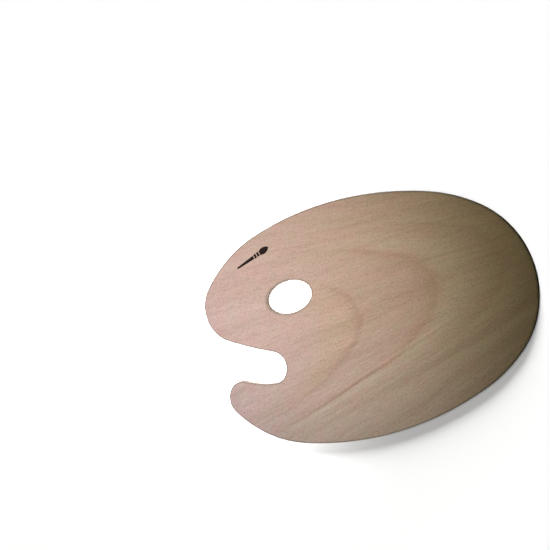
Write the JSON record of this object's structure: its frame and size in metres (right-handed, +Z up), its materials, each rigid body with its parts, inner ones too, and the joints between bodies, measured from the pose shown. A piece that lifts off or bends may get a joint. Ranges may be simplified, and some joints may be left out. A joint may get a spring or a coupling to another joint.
{
  "type": "mixing palette",
  "caption": "Flat oval plywood mixing palette with an oval thumb hole and a finger notch open at one end.",
  "frame": {"origin": "middle of the underside of the board, at the centre of its bounding rectangle", "axes": "+Z up out of the mixing face; +X along the oval, away from the finger notch; +Y towards the edge that the thumb hole is nearer to"},
  "size_m": [0.3, 0.2, 0.004],
  "materials": {
    "beech_veneer": "sanded, unvarnished, fine straight grain with a few arches",
    "core_wood": "sawn edge, grain across the board",
    "cured_glue": "thin dark line",
    "print_ink": "flat printed ink, slightly broken by the grain"
  },
  "bodies": {
    "root": {"face_veneer": "beech_veneer", "face_glue_line": "cured_glue", "core_veneer": "core_wood", "back_glue_line": "cured_glue", "back_veneer": "beech_veneer", "ink_mark": "print_ink"}
  },
  "joints": []
}
